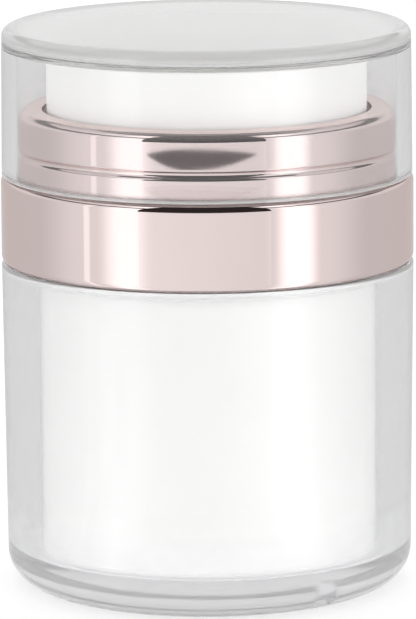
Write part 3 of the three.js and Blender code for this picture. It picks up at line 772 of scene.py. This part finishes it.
world = bpy.data.worlds.new("white_room")
world.use_nodes = True
room_nodes = world.node_tree.nodes
room_links = world.node_tree.links
room_light = room_nodes["Background"]
room_light.inputs["Color"].default_value = (1.0, 1.0, 1.0, 1.0)
room_light.inputs["Strength"].default_value = ROOM_LIGHT
room_white = room_nodes.new("ShaderNodeBackground")
room_white.inputs["Color"].default_value = (1.0, 1.0, 1.0, 1.0)
room_white.inputs["Strength"].default_value = 1.0
room_either = room_nodes.new("ShaderNodeMixShader")
room_links.new(seen_rays(room_nodes, room_links), room_either.inputs["Fac"])
room_links.new(room_light.outputs["Background"], room_either.inputs[1])
room_links.new(room_white.outputs["Background"], room_either.inputs[2])
room_links.new(room_either.outputs["Shader"], room_nodes["World Output"].inputs["Surface"])
bpy.context.scene.world = world


def softbox(name, place, width, radiance):
    """Square area lamp at place that faces the jar and shines with the given radiance."""
    lamp = bpy.data.lights.new(name, "AREA")
    lamp.shape = "SQUARE"
    lamp.size = width
    lamp.energy = radiance * math.pi * width * width
    box = bpy.data.objects.new(name, lamp)
    box.location = place
    box.rotation_euler = (SOFTBOX_AIM - Vector(place)).to_track_quat("-Z", "Y").to_euler()
    box.visible_camera = False
    bpy.context.collection.objects.link(box)


softbox("softbox_top", TOP_SOFTBOX_PLACE, TOP_SOFTBOX_WIDTH, TOP_SOFTBOX_RADIANCE)
for row, along in (("front", -1), ("back", 1)):
    for side, across in (("left", -1), ("right", 1)):
        corner = (across * SIDE_SOFTBOX_ASIDE, along * SIDE_SOFTBOX_AHEAD, SIDE_SOFTBOX_HEIGHT)
        softbox(f"softbox_{row}_{side}", corner, SIDE_SOFTBOX_WIDTH, SIDE_SOFTBOX_RADIANCE)


# Light tent: a round glowing screen, open to the camera, that runs in over the table to the jar's foot. It
# lights nothing and paints the reflections that the metal and clear plastic show: grey at the back, brighter
# towards the front and lighter in its upper part. Three brighter strips on it are painted highlights, the
# mirror coat's upright highlights, and a dark bar round its upper part is a painted dark reflection that
# draws fine dark lines on the rounded edges. Its sides and strips are in degrees to the right of the camera.
TENT_FOOT = 0.0315
TENT_DISTANCE = 0.13
TENT_LIFT = 0.0003
TENT_TOP = 0.25
TENT_BAR = 0.122
TENT_BAR_TOP = 0.15
TENT_BAR_GREY = 0.12
TENT_LEFT_EDGE = -34.0
TENT_RIGHT_EDGE = 31.0
TENT_TURN = 0.086
TENT_TURN_WIDTH = 0.008
TENT_UPPER = 0.86
TENT_GREY = 0.69
TENT_FRONT_GREY = 0.93
TENT_FRONT_FROM = 95.0
TENT_FRONT_FULL = 62.0
TENT_FRONT_TURN = -3.0
TENT_COLUMNS = 721
FULL_TURN = 360.0
# Painted highlights: each strip's added glow gives the mirror coat one upright highlight.
PAINTED_HIGHLIGHT_STRIPS = (
    {"middle": -40.0, "half": 4.0, "soft": 13.5, "gain": 0.55},
    {"middle": -62.6, "half": 1.1, "soft": 1.3, "gain": 0.3},
    {"middle": 45.2, "half": 4.7, "soft": 9.0, "gain": 0.6},
)


def reflection_sheet(name, points, radiance):
    """Sheet that glows with painted reflections, from a grid of points and a grid of radiances. Only
    reflections and views through clear plastic see it, and it neither lights nor shades anything."""
    rows, columns = points.shape[:2]
    index = np.arange(rows * columns).reshape(rows, columns)
    faces = np.stack([index[:-1, :-1], index[:-1, 1:], index[1:, 1:], index[1:, :-1]], axis=-1).reshape(-1, 4)
    sheet = mesh_piece(name, points.reshape(-1, 3), faces.tolist())
    glow = sheet.data.attributes.new("glow", "FLOAT_COLOR", "POINT")
    colours = np.ones((rows * columns, 4), np.float32)
    colours[:, :3] = radiance.reshape(-1, 3)
    glow.data.foreach_set("color", colours.ravel())
    material = bpy.data.materials.new(name)
    material.use_nodes = True
    nodes = material.node_tree.nodes
    links = material.node_tree.links
    tone = nodes.new("ShaderNodeAttribute")
    tone.attribute_name = "glow"
    shine = nodes.new("ShaderNodeEmission")
    links.new(tone.outputs["Color"], shine.inputs["Color"])
    links.new(shine.outputs["Emission"], nodes["Material Output"].inputs["Surface"])
    sheet.data.materials.append(material)
    sheet.visible_camera = False
    sheet.visible_diffuse = False
    sheet.visible_shadow = False


def round_the_jar(azimuth, distance, height):
    """Points at azimuths in degrees to the right of the camera, at a distance from the jar's axis and a
    height."""
    way = np.radians(azimuth)
    distance = np.broadcast_to(distance, way.shape)
    return np.stack([distance * np.sin(way), -distance * np.cos(way), np.full(way.shape, height)], axis=-1)


def soft_step(share):
    """Rises from 0 to 1 as share goes from 0 to 1, level at both ends: the cubic 3 s^2 - 2 s^3."""
    share = np.clip(share, 0.0, 1.0)
    return share * share * (3.0 - 2.0 * share)


tent_way = np.linspace(TENT_RIGHT_EDGE, TENT_LEFT_EDGE + FULL_TURN, TENT_COLUMNS)
tent_side = np.where(tent_way > FULL_TURN / 2, tent_way - FULL_TURN, tent_way)
tent_off_front = np.abs(tent_side - TENT_FRONT_TURN)
tent_front = soft_step((TENT_FRONT_FROM - tent_off_front) / (TENT_FRONT_FROM - TENT_FRONT_FULL))
tent_tone = TENT_GREY + (TENT_FRONT_GREY - TENT_GREY) * tent_front
for strip in PAINTED_HIGHLIGHT_STRIPS:
    from_end = strip["half"] + strip["soft"] - np.abs(tent_side - strip["middle"])
    tent_tone = tent_tone + strip["gain"] * soft_step(from_end / strip["soft"])
tent = np.stack([
    round_the_jar(tent_way, TENT_FOOT, TENT_LIFT),
    round_the_jar(tent_way, TENT_DISTANCE, TENT_LIFT),
    round_the_jar(tent_way, TENT_DISTANCE, TENT_TURN),
    round_the_jar(tent_way, TENT_DISTANCE, TENT_TURN + TENT_TURN_WIDTH),
    round_the_jar(tent_way, TENT_DISTANCE, TENT_BAR),
    round_the_jar(tent_way, TENT_DISTANCE, TENT_BAR + TENT_TURN_WIDTH),
    round_the_jar(tent_way, TENT_DISTANCE, TENT_BAR_TOP),
    round_the_jar(tent_way, TENT_DISTANCE, TENT_BAR_TOP + TENT_TURN_WIDTH),
    round_the_jar(tent_way, TENT_DISTANCE, TENT_TOP),
])
tent_upper = np.maximum(tent_tone, TENT_UPPER)
# The dark bar is a painted dark reflection: it draws fine dark lines on the metal's rounded edges.
tent_bar = np.full_like(tent_tone, TENT_BAR_GREY)
tent_tones = np.stack([
    tent_tone, tent_tone, tent_tone, tent_upper, tent_upper, tent_bar, tent_bar, tent_upper, tent_upper,
])
reflection_sheet("painted_reflection_tent", tent, np.broadcast_to(tent_tones[:, :, None], tent.shape))


# Camera side: more glowing sheets that paint reflections. Through the tent's opening the jar mirrors a dark
# sheet for the dark room behind the camera, a bright sheet for the lit table in front of it, brighter on the
# left and towards its two sides, and a dark strip far out on the table that is painted shade; above the tent
# a grey ceiling sheet is painted shade that hides the overhead softbox from mirrors and clear plastic.
DARK_WALL_DISTANCE = 0.7
DARK_WALL_TOP = 1.0
DARK_WALL_LEFT = -42.0
DARK_WALL_RIGHT = 38.0
DARK_CEILING_END = 0.03
DARK_TONE = (0.03, 0.025, 0.025)
TABLE_SHEET_END = 0.6
TABLE_SHEET_HALF = 46.0
TABLE_SHEET_LEFT = 1.06
TABLE_SHEET_RIGHT = 0.89
TABLE_GLOW = 0.6
TABLE_GLOW_FROM = 28.5
TABLE_GLOW_SOFT = 19.0
PAINTED_SHADE_TONE = (0.04, 0.03, 0.03)
CARD_HEIGHT = 0.001
CARD_MIDDLE = -11.0
CARD_LEFT = 24.0
CARD_RIGHT = 40.0
CARD_NEAR = 0.443
CARD_FAR = 0.4733
CARD_MEET = 0.4646
SHEET_COLUMNS = 41
CEILING_GREY = 0.12
CEILING_COLUMNS = 181

wall_way = np.linspace(DARK_WALL_LEFT, DARK_WALL_RIGHT, SHEET_COLUMNS)
dark_room = np.stack([
    round_the_jar(wall_way, DARK_WALL_DISTANCE, 0.0),
    round_the_jar(wall_way, DARK_WALL_DISTANCE, DARK_WALL_TOP),
    round_the_jar(wall_way, DARK_CEILING_END, DARK_WALL_TOP),
])
reflection_sheet("dark_room", dark_room, np.broadcast_to(DARK_TONE, dark_room.shape))

ceiling_way = np.linspace(DARK_WALL_RIGHT, DARK_WALL_LEFT + FULL_TURN, CEILING_COLUMNS)
ceiling = np.stack([
    round_the_jar(ceiling_way, DARK_WALL_DISTANCE, DARK_WALL_TOP),
    round_the_jar(ceiling_way, DARK_CEILING_END, DARK_WALL_TOP),
])
reflection_sheet("painted_shade_ceiling", ceiling, np.full(ceiling.shape, CEILING_GREY))

sheet_way = np.linspace(-TABLE_SHEET_HALF, TABLE_SHEET_HALF, SHEET_COLUMNS)
sheet_tone = np.linspace(TABLE_SHEET_LEFT, TABLE_SHEET_RIGHT, SHEET_COLUMNS)
sheet_tone = sheet_tone + TABLE_GLOW * soft_step((np.abs(sheet_way) - TABLE_GLOW_FROM) / TABLE_GLOW_SOFT)
table_sheet = np.stack([round_the_jar(sheet_way, end, TENT_LIFT) for end in (TENT_FOOT, TABLE_SHEET_END)])
reflection_sheet("table_sheet", table_sheet, np.broadcast_to(sheet_tone[None, :, None], table_sheet.shape))

# The dark strip is painted shade, seen only in reflections, and a bowed lens: across its azimuths its near
# and far edges draw together, with the square of the way from the middle, until they meet at both ends.
card_way = np.linspace(CARD_MIDDLE - CARD_LEFT, CARD_MIDDLE + CARD_RIGHT, SHEET_COLUMNS)
card_aside = card_way - CARD_MIDDLE
card_bow = np.where(card_aside < 0.0, card_aside / CARD_LEFT, card_aside / CARD_RIGHT) ** 2
card = np.stack([
    round_the_jar(card_way, edge + (CARD_MEET - edge) * card_bow, CARD_HEIGHT)
    for edge in (CARD_NEAR, CARD_FAR)
])
reflection_sheet("painted_shade_far_strip", card, np.broadcast_to(PAINTED_SHADE_TONE, card.shape))


# Camera: a long lens a little above the jar, at the distance and tilt that the rims' ellipses in the
# photograph give, with the small roll and framing shift that it shows.
CAMERA_PLACE = Vector((0.0, -0.826, 0.196))
CAMERA_TILT = math.radians(10.5)
CAMERA_ROLL = math.radians(-0.4)
CAMERA_LENS = 323.8
CAMERA_SHIFT_UP = -0.0155
CAMERA_NEAREST = 0.01
LIGHT_BOUNCES = 32

lens = bpy.data.cameras.new("camera")
lens.lens = CAMERA_LENS
lens.shift_y = CAMERA_SHIFT_UP
lens.clip_start = CAMERA_NEAREST
camera = bpy.data.objects.new("camera", lens)
camera.matrix_world = (
    Matrix.Translation(CAMERA_PLACE)
    @ Matrix.Rotation(math.pi / 2 - CAMERA_TILT, 4, "X")
    @ Matrix.Rotation(CAMERA_ROLL, 4, "Z")
)
bpy.context.collection.objects.link(camera)
bpy.context.scene.camera = camera
bpy.context.scene.view_settings.view_transform = "Standard"
bpy.context.scene.cycles.max_bounces = LIGHT_BOUNCES
bpy.context.scene.cycles.transmission_bounces = LIGHT_BOUNCES
